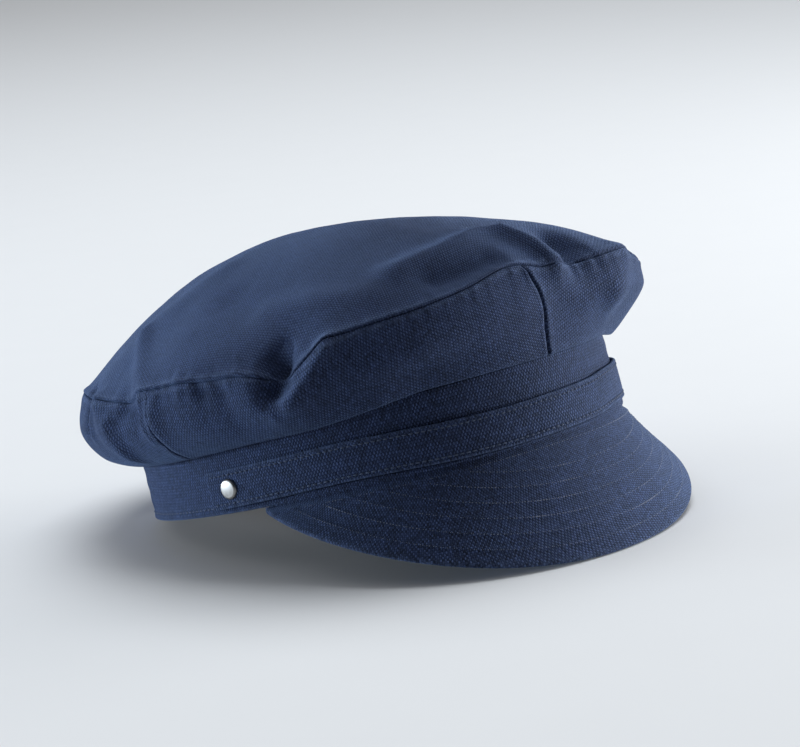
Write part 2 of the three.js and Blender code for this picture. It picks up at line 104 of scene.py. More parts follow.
# Angles go round the cap from its front: 90 is the wearer's right, 180 the back.
# Outward distances are shares of CROWN_OVERHANG, heights shares of SIDE_RISE above the band,
# droop is a share of HEM_DROOP, and fullness rounds the top's edge over.
SECTION_COLUMNS = ("angle", "rim_out", "rim_rise", "belly_out", "belly_rise", "droop", "fullness")
CROWN_SECTIONS = [
    (0, 0.26, 1.13, 0.26, 0.70, 0.00, 0.34),
    (12, 0.32, 1.27, 0.32, 0.74, 0.00, 0.24),
    (24, 0.46, 1.14, 0.44, 0.70, 0.00, 0.18),
    (36, 0.60, 1.05, 0.58, 0.60, 0.00, 0.14),
    (52, 0.71, 0.97, 0.73, 0.54, 0.36, 0.10),
    (64, 0.70, 0.64, 0.76, 0.32, 0.60, 0.08),
    (76, 0.71, 0.80, 0.82, 0.40, 0.62, 0.06),
    (90, 0.72, 0.85, 0.88, 0.40, 0.74, 0.02),
    (106, 0.74, 0.78, 0.93, 0.38, 0.86, -0.06),
    (122, 0.76, 0.85, 0.99, 0.40, 0.88, -0.12),
    (140, 0.79, 0.95, 1.05, 0.44, 0.88, -0.15),
    (165, 0.88, 0.90, 1.08, 0.44, 0.85, -0.11),
    (195, 0.96, 0.86, 1.12, 0.45, 0.80, -0.03),
    (225, 1.02, 0.86, 1.15, 0.48, 0.70, 0.03),
    (255, 1.05, 0.84, 1.18, 0.48, 0.60, 0.07),
    (285, 1.06, 0.80, 1.17, 0.50, 0.50, 0.14),
    (305, 1.08, 0.79, 1.12, 0.52, 0.36, 0.24),
    (320, 1.08, 0.80, 1.07, 0.54, 0.28, 0.25),
    (336, 0.80, 1.05, 0.80, 0.62, 0.00, 0.32),
    (348, 0.48, 1.10, 0.50, 0.66, 0.00, 0.38),
]
EVEN_RIM_OUT = 0.95
EVEN_RIM_RISE = 0.92

# Folds: name, angle, level, to angle, to level, width (share of SIDE_RISE) and height (share
# of FOLD_DEPTH, dents below zero). A level is 0 at the band, 1 at the rim, 2 at the top's middle.
FOLDS = [
    ("front top ridge", 3, 1.25, 33, 1.20, 0.26, 0.50),
    ("front top dent", 13, 1.08, 27, 1.10, 0.26, -0.60),
    ("left front ridge", -2, 1.21, -3, 1.02, 0.19, 0.60),
    ("left front dent", -13, 1.12, -10, 1.03, 0.24, -0.90),
    ("left front panel ridge", -25, 0.98, -20, 0.80, 0.24, 0.40),
    ("side top ridge", 66, 1.24, 43, 1.13, 0.30, 0.32),
    ("side top hollow", 78, 1.33, 72, 1.26, 0.42, -0.40),
    ("side rim dent", 64.5, 1.03, 67.5, 0.88, 0.17, -0.95),
    ("side panel ridge", 54, 0.96, 68, 0.78, 0.15, 0.40),
    ("side panel dent", 81, 0.92, 77, 0.84, 0.24, -0.35),
    ("right seam ridge", 112, 1.26, 96, 0.88, 0.18, 0.38),
    ("back right dent", 107, 0.98, 102, 0.89, 0.16, -0.48),
    ("back right ridge", 117, 0.99, 110, 0.70, 0.16, 0.42),
    ("back right top ridge", 94, 1.59, 122, 1.10, 0.34, 0.25),
    ("back dent", 163, 1.12, 158, 0.84, 0.34, -0.60),
    ("back left dent", 208, 1.10, 214, 0.82, 0.36, -0.70),
    ("left top ridge", 236, 1.30, 262, 1.08, 0.36, 0.45),
    ("left rim dent", 281, 1.10, 286, 0.84, 0.34, -0.70),
    ("left front rim dent", 312, 1.12, 309, 0.88, 0.34, -0.45),
]

# Finer creases than the solids have, in the same columns
CREASES = [
    ("side rim crease", 62.5, 1.08, 66, 1.03, 0.12, -0.50),
    ("side panel crease", 64, 0.94, 68, 0.84, 0.10, -0.28),
    ("side panel fold edge", 54, 0.97, 68, 0.78, 0.07, 0.24),
    ("rim pucker", 84, 0.98, 83, 0.95, 0.06, -0.28),
    ("second rim pucker", 79, 0.96, 78, 0.90, 0.11, -0.18),
    ("third rim pucker", 88, 1.03, 88, 0.95, 0.06, 0.12),
    ("front left pucker", -11, 1.05, -10, 0.95, 0.07, 0.12),
    ("front left second pucker", -16, 1.05, -16, 0.96, 0.06, -0.14),
    ("long top crease", 118, 1.38, 88, 1.20, 0.07, 0.05),
    ("back right fold edge", 118, 0.99, 111, 0.88, 0.06, 0.22),
    ("back right low fold edge", 111, 0.88, 108.5, 0.68, 0.09, 0.18),
    ("back right hollow", 106, 0.97, 103, 0.92, 0.09, -0.10),
    ("back right far ridge", 122, 0.98, 121, 0.84, 0.07, 0.20),
    ("back right far slot", 126, 1.03, 125, 0.88, 0.10, -0.35),
    ("right seam fold edge", 99, 0.97, 98, 0.76, 0.05, 0.16),
    ("left front seam crease", -6, 1.01, -15, 1.01, 0.08, -0.12),
    ("left front rim ease", -54, 1.02, -42, 1.02, 0.22, -0.26),
    ("left front top hollow", -9, 1.08, -14, 1.07, 0.17, -0.24),
]

# The level at which a side panel folds out over the band
FOLD_LEVEL = 0.5
# Close below the rim, this much cloth makes one level of a side panel
RIM_LEVEL_CLOTH = 78.0
CROWN_MEAN_RADIUS = 110.0
# How rubbed the crown's inner face is
INNER_WEAR = 0.15

# Side panels, each with the upright seam that it starts from: its angles at the band and at the
# rim, half its groove's width and how strong it stays at the rim. grain is the turn of the weave.
Panel = namedtuple("Panel", "node, at_band, at_rim, half_width, rim_strength, grain")
PANELS = [
    Panel("crown_front_right", 4, 8, 0.74, 1.0, -14.0),
    Panel("crown_back_right", 96, 96, 0.34, 0.15, 14.0),
    Panel("crown_back_left", 180, 180, 0.40, 0.8, -14.0),
    Panel("crown_front_left", 258, 264, 0.40, 0.8, 14.0),
]
# The level where the seams start to lean, and the arc along the band that the panels are cut as
SEAM_LEAN_START = 0.75
PANEL_RADIUS = 144.0

# The strap's lower edge: angle, and the share of the room that it leaves on the band
STRAP_PATH = [
    (-100, 0.14), (-75, 0.20), (-45, 0.24), (-20, 0.20), (-8, 0.10), (4, 0.06),
    (20, 0.04), (32, 0.07), (46, 0.16), (60, 0.22), (78, 0.19), (100, 0.14),
]

# Sewn seams of the crown: a groove with a soft lip on each side and uneven puckers along it.
# The front seam gapes most, and the rim's seam is fine, with the top's edge standing over it.
SEAM_DEPTH = 1.15
RIM_SEAM_HALF_WIDTH = 0.25
RIM_EDGE_RISE = 0.36
RIM_EDGE_WIDTH = 1.2
# Beside the front seam the rim's own seam is pulled open, with a wider groove and line of painted
# # shade: angle, spread in degrees and share
RIM_GAPE_ANGLE = -11.0
RIM_GAPE_SPREAD = 7.0
RIM_GAPE = 2.2
SEAM_LIP = 0.22
SEAM_LIP_PLACE = 2.2
SEAM_LIP_WIDTH = 1.5
PUCKER_HEIGHT = 0.40
PUCKER_REACH = 4.5

# Stitches
STITCH_LENGTH = 2.0
STITCH_PITCH = 2.7
STITCH_WIDTH = 0.62
STITCH_RISE = 0.34
STITCH_DIP = 0.30
STITCH_DIP_WIDTH = 0.9
# The height over the plain cloth at which a row of stitches lies in its dip
STITCH_SEAT = 0.12 - STITCH_DIP
STITCH_SINK = 0.16
STITCH_RINGS = 6
STITCH_SIDES = 6
STRAP_STITCH_INSET = 1.9
BAND_STITCH_HEIGHT = 2.8
VISOR_ROWS = [6.6 + 6.1 * index for index in range(6)]
VISOR_ROOT_ROW = 3.2


def turn_between(start, end):
    """Signed difference of two angles in degrees."""
    return (end - start + 180.0) % 360.0 - 180.0


def smoothstep(value, low, high):
    share = np.clip((value - low) / (high - low), 0.0, 1.0)
    return share * share * (3 - 2 * share)


def lerp(a, b, share):
    return a + (b - a) * share


def bell(distance, width):
    """1 at no distance, and dying out softly to both sides."""
    return np.exp(-((distance / width) ** 2))


def stacked(*parts):
    """Points from their coordinates, of which some may be single numbers."""
    return np.stack(np.broadcast_arrays(*parts), -1)


def unit(vectors):
    return vectors / np.linalg.norm(vectors, axis=-1, keepdims=True)


def distances_along(points):
    """Distance from the first point of each path to each of its points."""
    steps = np.linalg.norm(np.diff(points, axis=-2), axis=-1)
    return np.concatenate([0 * steps[..., :1], np.cumsum(steps, axis=-1)], axis=-1)


def limited_tangent(before, after):
    """Tangent between two slopes that lets a curve through values never overshoot them."""
    same_way = before * after > 0
    total = np.where(same_way, before + after, 1.0)
    return np.where(same_way, 2.0 * before * after / total, 0.0)


def eased_between(a, b, start_tangent, end_tangent, share):
    """Cubic from one value to the next, with a tangent at each end."""
    rest = 1 - share
    bend = share * share * (3 - 2 * share)
    return lerp(a, b, bend) + start_tangent * share * rest**2 - end_tangent * share**2 * rest


def column_at(angles, values, angle, closed=True):
    """Smooth value of a table's column at each angle, with no overshoot between the rows."""
    angles = np.asarray(angles, float)
    values = np.asarray(values, float)
    if closed:
        angles = np.concatenate([angles[-2:] - 360, angles, angles[:2] + 360])
        values = np.concatenate([values[-2:], values, values[:2]])
        angle = np.mod(angle, 360.0)
    else:
        angle = np.clip(angle, angles[0], angles[-1])
    slope = np.diff(values) / np.diff(angles)
    tangent = np.concatenate([[0.0], limited_tangent(slope[:-1], slope[1:]), [0.0]])
    i = np.clip(np.searchsorted(angles, angle, side="right") - 1, 0, len(angles) - 2)
    width = angles[i + 1] - angles[i]
    share = (angle - angles[i]) / width
    return eased_between(values[i], values[i + 1], tangent[i] * width, tangent[i + 1] * width, share)


SECTIONS = dict(zip(SECTION_COLUMNS, zip(*CROWN_SECTIONS)))


def section_at(name, angle):
    return column_at(SECTIONS["angle"], SECTIONS[name], angle)


def section_out(name, angle):
    return section_at(name, angle) * CROWN_OVERHANG


def section_height(name, angle):
    return CROWN_SEAT + section_at(name, angle) * SIDE_RISE


def through_points(values, place):
    """Smooth value through evenly spaced values, at a place from 0 to 1 along them."""
    values = np.stack(np.broadcast_arrays(*values, place)[:-1])
    last = len(values) - 1
    scaled = np.clip(place, 0, 1) * last
    i = np.minimum(scaled.astype(int), last - 1)
    steps = np.diff(values, axis=0)
    tangents = np.concatenate([steps[:1], limited_tangent(steps[:-1], steps[1:]), steps[-1:]])

    def pick(table, k):
        return np.take_along_axis(table, k[None], axis=0)[0]

    ends = [pick(table, k) for table in (values, tangents) for k in (i, i + 1)]
    return eased_between(*ends, scaled - i)


HALF_LENGTH = BAND_LENGTH / 2 - BAND_TAPER
HALF_BREADTH = BAND_BREADTH / 2 - BAND_TAPER


def ring_normal(angle):
    """Level unit vector out of the band."""
    t = np.radians(angle)
    return unit(np.stack([-np.sin(t) / HALF_BREADTH, -np.cos(t) / HALF_LENGTH, 0 * t], -1))


def ring_point(angle, out, height):
    """Point of the band's upper edge moved outward and set at a height."""
    t = np.radians(angle)
    normal = ring_normal(angle)
    x = -HALF_BREADTH * np.sin(t) + out * normal[..., 0]
    y = -HALF_LENGTH * np.cos(t) + out * normal[..., 1]
    return stacked(x, y, height)


FINE_ANGLES = np.linspace(-400, 400, 3201)
FINE_ARCS = distances_along(ring_point(FINE_ANGLES, 0.0, 0.0))
FINE_ARCS -= np.interp(0.0, FINE_ANGLES, FINE_ARCS)


def ring_arc(angle):
    """Arc length along the band's ellipse from its front to each angle."""
    return np.interp(angle, FINE_ANGLES, FINE_ARCS)


def angle_at_arc(arc):
    return np.interp(arc, FINE_ARCS, FINE_ANGLES)


def band_out(height):
    """The band leans in by its taper, so its outer face stands out more at a lower height."""
    return BAND_TAPER * (1 - height / BAND_HEIGHT)


def side_point(angle, level):
    """Outer face of a side panel: over the band's edge, down in a soft fold, out to the belly."""
    droop_share = section_at("droop", angle)
    droop = droop_share * HEM_DROOP
    belly_out = section_out("belly_out", angle)
    belly_height = section_height("belly_rise", angle)
    fold_height = CROWN_SEAT - droop
    edge_out = band_out(fold_height) + STRAP_OFF
    hang = np.minimum(droop / CROWN_WALL, 1)
    turn_out = edge_out - lerp(0.6, 0, hang) * CROWN_WALL
    hang_out = edge_out + lerp(0, 0.25, hang) * CROWN_WALL
    fold_out = edge_out + lerp(0.6, 1.75, hang) * CROWN_WALL
    low_out = lerp(fold_out, belly_out, lerp(0.46, 0.68, droop_share))
    low_height = lerp(fold_height, belly_height, lerp(0.44, 0.30, droop_share))
    rim_out = section_out("rim_out", angle)
    rim_height = section_height("rim_rise", angle)
    hang_height = CROWN_SEAT - 0.55 * droop
    outs = [STRAP_OFF - BAND_WALL, turn_out, hang_out, fold_out, low_out, belly_out, rim_out]
    heights = [CROWN_SEAT, CROWN_SEAT, hang_height, fold_height, low_height, belly_height, rim_height]
    return ring_point(angle, through_points(outs, level), through_points(heights, level))


def top_point(angle, level):
    """Outer face of the round top: an even dome, on which the rim's own dips die out inward."""
    share = np.clip(2 - level, 0, 1)[..., None]
    apex = np.array([-APEX_RIGHT, APEX_BACK, CROWN_SEAT + SIDE_RISE + TOP_RISE])
    even = ring_point(angle, EVEN_RIM_OUT * CROWN_OVERHANG, CROWN_SEAT + EVEN_RIM_RISE * SIDE_RISE)
    rim = ring_point(angle, section_out("rim_out", angle), section_height("rim_rise", angle))
    point = lerp(apex, even, share) + (rim - even) * share**5
    drop = apex[2] - even[..., 2]
    share = share[..., 0]
    shoulder = section_at("fullness", angle) * 1.3 * drop * share**4 * (1 - share**3)
    point[..., 2] = apex[2] - drop * share**2 + (rim[..., 2] - even[..., 2]) * share**5 + shoulder
    return point


def smooth_crown(angle, level):
    angle, level = np.broadcast_arrays(angle, level)
    return np.where((level > 1)[..., None], top_point(angle, level), side_point(angle, level))


SIDE_CLOTH = 1.45 * SIDE_RISE
TOP_CLOTH = BAND_LENGTH / 2 + CROWN_OVERHANG


def cloth_height(level):
    """Distance along the cloth from the band."""
    return np.where(level > 1, SIDE_CLOTH + (level - 1) * TOP_CLOTH, level * SIDE_CLOTH)


def cloth_radius(level):
    return np.where(level > 1, (2 - level) * TOP_CLOTH, lerp(HALF_BREADTH, TOP_CLOTH, level))


def fold_height_at(angle, level, folds):
    height = np.zeros(np.broadcast(angle, level).shape)
    for _, start, low, end, high, width, rise in folds:
        per_degree = DEGREE * cloth_radius((low + high) / 2)
        along = turn_between(start, end) * per_degree
        up = cloth_height(high) - cloth_height(low)
        x = turn_between(start, angle) * per_degree
        y = cloth_height(level) - cloth_height(low)
        share = np.clip((x * along + y * up) / (along * along + up * up), 0, 1)
        distance = np.hypot(x - share * along, y - share * up)
        height += rise * FOLD_DEPTH * bell(distance, width * SIDE_RISE)
    return height * smoothstep(level, 0.45, 0.8)


def outward_normal(angle, level):
    """Unit vector out of the crown's cloth, from points a little to each side."""
    level = np.minimum(level, 1.95)
    low = np.maximum(level - 0.02, 0)
    high = np.minimum(level + 0.02, 1.97)
    around = smooth_crown(angle + 0.6, level) - smooth_crown(angle - 0.6, level)
    up = smooth_crown(angle, high) - smooth_crown(angle, low)
    return unit(np.cross(up, around))


def seam_angle(panel, level):
    share = np.clip((level - SEAM_LEAN_START) / (1 - SEAM_LEAN_START), 0, 1) ** 3
    return panel.at_band + turn_between(panel.at_band, panel.at_rim) * share


def seam_relief(distance, half_width):
    """Height of the cloth beside a sewn seam: a groove, then a soft lip over the allowance."""
    lip = SEAM_LIP * bell(distance - SEAM_LIP_PLACE, SEAM_LIP_WIDTH)
    return lip - SEAM_DEPTH * bell(distance, half_width)


def puckers(along, distance, phase):
    """Uneven little swells along a seam, which die out a few millimetres from it."""
    turn = 2 * math.pi * along
    wave = np.sin(turn / 7.9 + phase) * (0.6 + 0.4 * np.sin(turn / 31 + 2 * phase))
    wave = wave + 0.5 * np.sin(turn / 4.7 + 3 * phase)
    reach = np.exp(-distance / PUCKER_REACH) * (1 - bell(distance, 1.2))
    return PUCKER_HEIGHT * wave * reach


def rim_distance(level):
    """Distance along the cloth from the rim's seam."""
    return np.where(level > 1, (level - 1) * TOP_CLOTH, (1 - level) * RIM_LEVEL_CLOTH)


def cloth_noise(points, size, seed):
    """Smooth unevenness from -1 to 1, with swells of about that size in millimetres."""
    flat = points.reshape(-1, 3) / size
    values = [noise.noise(Vector((float(x), float(y), float(z) + seed))) for x, y, z in flat]
    return np.array(values).reshape(points.shape[:-1])


def fine_crown(angle, level):
    """Outer face of the crown with folds, creases, seam grooves and puckers, and its wear and painted
    shade: above 0 where the cloth is rubbed pale, below 0 as painted shade in the depth of a seam."""
    base = smooth_crown(angle, level)
    normal = outward_normal(angle, level)
    rise = fold_height_at(angle, level, FOLDS) + fold_height_at(angle, level, CREASES)
    from_rim = rim_distance(level)
    gape = bell(turn_between(RIM_GAPE_ANGLE, angle), RIM_GAPE_SPREAD)
    rim_half_width = RIM_SEAM_HALF_WIDTH * (1 + RIM_GAPE * gape)
    rise += seam_relief(from_rim, rim_half_width)
    rise += puckers(DEGREE * TOP_CLOTH * angle, from_rim, np.where(level > 1, 0.4, 2.1))
    edge = np.where(level > 1, RIM_EDGE_RISE, -0.3 * RIM_EDGE_RISE)
    rise += edge * bell(from_rim - 0.9, RIM_EDGE_WIDTH)
    # Rubbed wear pales the lips beside the rim's seam, and its groove is darkened as painted shade
    wear_and_seam_shade = bell(from_rim - 1.6, 0.9) - 2 * bell(from_rim, 1.6 * rim_half_width)
    for panel in PANELS:
        away = turn_between(seam_angle(panel, level), angle)
        distance = np.abs(away) * DEGREE * cloth_radius(level)
        on_side = (level <= 1) * smoothstep(level, 0.10, 0.30)
        strength = on_side * lerp(1.0, panel.rim_strength, smoothstep(level, 0.72, 0.86))
        fade = 1 - 0.6 * bell(from_rim, 1.2)
        rise += strength * seam_relief(distance, panel.half_width) * fade
        phase = np.where(away > 0, 0.9, 2.6)
        rise += 0.6 * on_side * puckers(cloth_height(level), distance, phase)
        wear_and_seam_shade = np.maximum(wear_and_seam_shade, on_side * bell(distance - panel.half_width - 0.7, 0.8))
        # Painted shade: the colour is darkened in the depth of each upright seam's groove
        wear_and_seam_shade -= 2 * strength * bell(distance, 1.15 * panel.half_width)
    swell = 0.5 * cloth_noise(base, 26.0, 3.0) + 0.16 * cloth_noise(base, 9.0, 11.0)
    rise += swell * smoothstep(level, 0.45, 0.9)
    return base + normal * rise[..., None], wear_and_seam_shade


def inner_crown(angle, level):
    """Inner face of the crown, without the fine relief."""
    normal = outward_normal(angle, level)
    rise = fold_height_at(angle, level, FOLDS) - CROWN_WALL
    return smooth_crown(angle, level) + normal * rise[..., None]


def visor_reach(place):
    """Width of the visor from the band to its edge."""
    fullness = np.where(place > 0, VISOR_FULLNESS_RIGHT, VISOR_FULLNESS_LEFT)
    return VISOR_REACH * (1 - np.abs(place) ** fullness)


def visor_angle(place):
    return place * np.where(place > 0, VISOR_HALF_ANGLE, VISOR_HALF_ANGLE_LEFT)


def visor_point(place, down, depth):
    """Point of the visor: place from -1 to 1 along the band, down from the band to the edge."""
    reach = visor_reach(place)
    ease = np.where(place > 0, VISOR_SLOPE_EASE_RIGHT, VISOR_SLOPE_EASE_LEFT)
    slope = np.radians(VISOR_SLOPE - ease * place**2)
    distance = down * reach
    square = np.minimum(down * 4, 1)
    inward = depth * VISOR_WALL
    out = BAND_TAPER + distance * np.cos(slope) - inward * lerp(1, np.sin(slope), square)
    height = -STRAP_OFF - distance * np.sin(slope) - inward * lerp(0, np.cos(slope), square)
    return ring_point(visor_angle(place), out, height)


# The lean at which the visor's front edge and the back of the band stand on the table
visor_foot = visor_point(np.array(0.0), 1.0, 1.0)
band_foot = ring_point(np.array(180.0), band_out(0), 0.0)
LEAN = math.atan2(band_foot[2] - visor_foot[2], band_foot[1] - visor_foot[1])
LEAN_BACK = np.array(Matrix.Rotation(-LEAN, 3, "X"))

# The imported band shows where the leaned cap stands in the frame
band_low, band_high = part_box("band")
top_back = LEAN_BACK @ np.array([0, HALF_LENGTH, BAND_HEIGHT])
top_front = LEAN_BACK @ np.array([0, -HALF_LENGTH, BAND_HEIGHT])
middle = (band_low.x + band_high.x) / 2
STAND = np.array([middle / MM, band_high.y / MM - top_back[1], band_high.z / MM - top_front[2]])


def to_world(points):
    """Cap frame in millimetres to the shared frame in metres, pressed flat on the table."""
    world = (points @ LEAN_BACK.T + STAND) * MM
    world[..., 2] = np.maximum(world[..., 2], 0.0)
    return world


def tube_faces(count, size, skip=None):
    """Quads between neighbours in a row of closed loops of points."""
    i = np.arange(count - 1)[:, None] * size
    j = np.array([k for k in range(size) if k != skip])
    k = (j + 1) % size
    return stacked(i + j, i + size + j, i + size + k, i + k).reshape(-1, 4)


def loft(name, columns, uv, wear_and_seam_shade, skip=None, capped=False):
    """Closed piece from an array of closed loops: columns[i, j] is point j of loop i. A ring's
    last loop repeats its first and is welded to it. No faces start at point skip of the loops."""
    count, size = columns.shape[:2]
    faces = tube_faces(count, size, skip)
    if capped:
        half = np.arange(size // 2 - 1)
        cap = np.stack([half, half + 1, size - 2 - half, size - 1 - half], -1)
        faces = np.concatenate([faces, cap, cap + (count - 1) * size])
    return mesh_piece(name, columns.reshape(-1, 3), faces.tolist(), uv.reshape(-1, 2), wear_and_seam_shade.ravel())


def shell(name, outer, inner, uv, wear_and_seam_shade, **closing):
    """Closed piece from its outer and inner faces, with one pattern for both."""
    columns = np.concatenate([outer, inner[:, ::-1]], axis=1)
    uv = np.concatenate([uv, uv[:, ::-1]], axis=1)
    wear_and_seam_shade = np.concatenate([wear_and_seam_shade, INNER_WEAR + 0 * wear_and_seam_shade], axis=1)
    return loft(name, columns, uv, wear_and_seam_shade, **closing)


def mesh_piece(name, points, faces, uv, wear_and_seam_shade=None):
    """Smooth object with each point's place on the cloth in millimetres, and its rubbed wear above 0
    and painted seam shade below 0. Doubled points are welded."""
    mesh = bpy.data.meshes.new(name)
    mesh.from_pydata(to_world(points), [], faces)
    layer = mesh.uv_layers.new(name="cloth")
    corner = np.zeros(len(mesh.loops), int)
    mesh.loops.foreach_get("vertex_index", corner)
    layer.data.foreach_set("uv", uv[corner].astype(np.float32).ravel())
    if wear_and_seam_shade is not None:
        attribute = mesh.attributes.new("wear_and_seam_shade", "FLOAT", "POINT")
        attribute.data.foreach_set("value", wear_and_seam_shade.astype(np.float32))
    bm = bmesh.new()
    bm.from_mesh(mesh)
    bmesh.ops.remove_doubles(bm, verts=bm.verts, dist=1e-6)
    bmesh.ops.dissolve_degenerate(bm, edges=bm.edges, dist=1e-7)
    bmesh.ops.recalc_face_normals(bm, faces=bm.faces)
    for face in bm.faces:
        face.smooth = True
    bm.to_mesh(mesh)
    bm.free()
    piece = bpy.data.objects.new(name, mesh)
    bpy.context.scene.collection.objects.link(piece)
    return piece


def place_piece(piece, material, node=None):
    """Gives a piece its material, and has it ride on the body in place of its solid."""
    piece.data.materials.append(material)
    if node:
        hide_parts(node)
    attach(piece, "root")


# Materials
class Nodes:
    """Short calls that add nodes to a material or world and link them."""

    def __init__(self, owner):
        owner.use_nodes = True
        self.owner = owner
        self.tree = owner.node_tree
        self.tree.nodes.clear()

    def add(self, kind, inputs=None, **settings):
        node = self.tree.nodes.new("ShaderNode" + kind)
        for key, value in settings.items():
            setattr(node, key, value)
        for key, value in (inputs or {}).items():
            if isinstance(value, bpy.types.NodeSocket):
                self.tree.links.new(value, node.inputs[key])
            else:
                node.inputs[key].default_value = value
        return node

    def math(self, operation, a, b=0.0, c=0.0):
        return self.add("Math", {0: a, 1: b, 2: c}, operation=operation).outputs[0]

    def times(self, a, b):
        return self.math("MULTIPLY", a, b)

    def vector(self, operation, a, b=(0.0, 0.0, 0.0)):
        return self.add("VectorMath", {0: a, 1: b}, operation=operation).outputs[0]

    def noise(self, vector, scale, detail=2.0, roughness=0.5):
        inputs = {"Vector": vector, "Scale": scale, "Detail": detail, "Roughness": roughness}
        return self.add("TexNoise", inputs).outputs["Fac"]

    def mix(self, share, a, b, blend="MIX"):
        inputs = {0: share, 6: a, 7: b}
        return self.add("Mix", inputs, data_type="RGBA", blend_type=blend).outputs[2]

    def darkened(self, colour, share):
        grey = self.add("CombineColor", {0: share, 1: share, 2: share}).outputs[0]
        return self.mix(1.0, colour, grey, "MULTIPLY")

    def span(self, value, low, high, to_low, to_high, **settings):
        limits = {"From Min": low, "From Max": high, "To Min": to_low, "To Max": to_high}
        return self.add("MapRange", {"Value": value, **limits}, **settings).outputs["Result"]

    def finish(self, inputs):
        """Ends a material with its shader."""
        shader = self.add("BsdfPrincipled", inputs)
        self.add("OutputMaterial", {"Surface": shader.outputs[0]})
        return self.owner


# Raised fibres scatter this bluish light
SHEEN_TINT = (0.36, 0.56, 1.0, 1.0)
# Canvas colours: navy between the threads with painted shade, navy on top of them with a painted
# # highlight, and where rubbed, and the distances in millimetres between threads each way
NAVY_IN_PAINTED_SHADE = (0.0020, 0.0055, 0.022, 1.0)
NAVY_WITH_PAINTED_HIGHLIGHT = (0.042, 0.064, 0.146, 1.0)
NAVY_WORN = (0.070, 0.098, 0.175, 1.0)
WARP_PITCH = 0.63
WEFT_PITCH = 1.16


def canvas(name, turn=0.0, contrast=1.0, speckle=0.45, fineness=1.0):
    """Plain-woven cotton canvas, with a painted highlight on top of its threads and painted shade
    between them. turn is in degrees, speckle is how much the crossings differ, and fineness
    shrinks the weave."""
    n = Nodes(bpy.data.materials.new(name))
    cloth = n.add("UVMap", uv_map="cloth").outputs["UV"]
    place = n.add("TexCoord").outputs["Object"]
    # Threads wander a little, as in real cloth
    drift = n.add("TexNoise", {"Vector": place, "Scale": 90.0, "Detail": 2.0}).outputs["Color"]
    drift = n.vector("SUBTRACT", drift, (0.5, 0.5, 0.5))
    drift = n.vector("MULTIPLY", drift, (0.7, 0.7, 0.7))
    turning = {"Vector": n.vector("ADD", cloth, drift), "Angle": turn * DEGREE}
    turned = n.add("VectorRotate", turning, rotation_type="Z_AXIS").outputs[0]
    density = (1 / (fineness * WARP_PITCH), 1 / (fineness * WEFT_PITCH), 1.0)
    threads = n.vector("MULTIPLY", turned, density)
    split = n.add("SeparateXYZ", {0: threads})
    u, v = split.outputs[0], split.outputs[1]

    def bulge(value):
        """Height across a round thread: 1 over its middle and 0 at its sides."""
        across = n.math("MULTIPLY_ADD", n.math("FRACT", value), 2.0, -1.0)
        return n.math("SUBTRACT", 1.0, n.times(across, across))

    warp, weft = bulge(u), bulge(v)
    cell = n.math("ADD", n.math("FLOOR", u), n.math("FLOOR", v))
    over = n.math("GREATER_THAN", n.math("FRACT", n.times(cell, 0.5)), 0.25)
    under = n.math("SUBTRACT", 1.0, over)
    warp_top = n.times(warp, n.math("MULTIPLY_ADD", weft, 0.45, 0.55))
    weft_top = n.times(weft, n.math("MULTIPLY_ADD", warp, 0.45, 0.55))
    # The close warp threads stand out, and the weft shows lower between them, darkened as painted shade
    weft_top = n.times(weft_top, 0.38)
    weave = n.math("MULTIPLY_ADD", warp_top, under, n.times(weft_top, over))

    # Thicker and thinner threads each way
    slub_u = n.noise(n.vector("MULTIPLY", threads, (0.035, 0.9, 1.0)), 1.0)
    slub_v = n.noise(n.vector("MULTIPLY", threads, (0.9, 0.035, 1.0)), 1.0)
    slubs = n.times(n.math("ADD", slub_u, slub_v), 0.5)

    cloud = n.noise(place, 38.0, 3.0, 0.55)
    mottle = n.noise(place, 260.0, 3.0, 0.6)
    # Attribute: above 0 rubbed wear that fades the colour, below 0 painted shade in seams' depths
    signed_wear_and_shade = n.add("Attribute", attribute_name="wear_and_seam_shade").outputs["Fac"]
    wear_and_seam_shade = n.span(signed_wear_and_shade, 0.0, 1.0, 0.0, 1.0)
    depth = n.span(signed_wear_and_shade, -1.0, 0.0, 0.10, 1.0)

    # The mean tone stays where it is while the contrast of painted highlight and shade changes
    mean = 0.33
    spread = n.span(weave, 0.05, 0.85, mean * (1 - contrast), mean + (1 - mean) * contrast)
    tone = n.mix(spread, NAVY_IN_PAINTED_SHADE, NAVY_WITH_PAINTED_HIGHLIGHT)
    shade = n.span(slubs, 0.3, 0.7, 1 - 0.28 * contrast, 1 + 0.28 * contrast)
    # No two crossings catch the light alike
    crossing = n.vector("FLOOR", threads)
    single = n.add("TexWhiteNoise", {"Vector": crossing}, noise_dimensions="2D").outputs["Value"]
    uneven = speckle * contrast
    shade = n.times(shade, n.span(single, 0.0, 1.0, 1 - uneven, 1 + uneven))
    shade = n.times(shade, n.span(cloud, 0.3, 0.7, 0.90, 1.10))
    shade = n.times(shade, n.span(mottle, 0.3, 0.7, 0.93, 1.07))
    fade = n.times(wear_and_seam_shade, n.span(mottle, 0.35, 0.65, 0.10, 0.42))
    base = n.mix(fade, tone, NAVY_WORN)
    # depth darkens the colour in the seams' grooves as painted shade
    base = n.darkened(n.darkened(base, shade), depth)

    relief = n.math("MULTIPLY_ADD", slubs, 0.5, weave)
    relief = n.math("MULTIPLY_ADD", n.noise(threads, 2.6), 0.25, relief)
    bump = n.add("Bump", {"Strength": 1.0, "Distance": 0.35 * MM, "Height": relief})
    return n.finish({
        "Base Color": base, "Roughness": n.span(weave, 0.0, 1.0, 0.96, 0.80),
        "Normal": bump.outputs[0], "Specular IOR Level": 0.15,
        "Sheen Weight": n.times(depth, 0.30), "Sheen Roughness": 0.45,
        "Sheen Tint": SHEEN_TINT,
    })


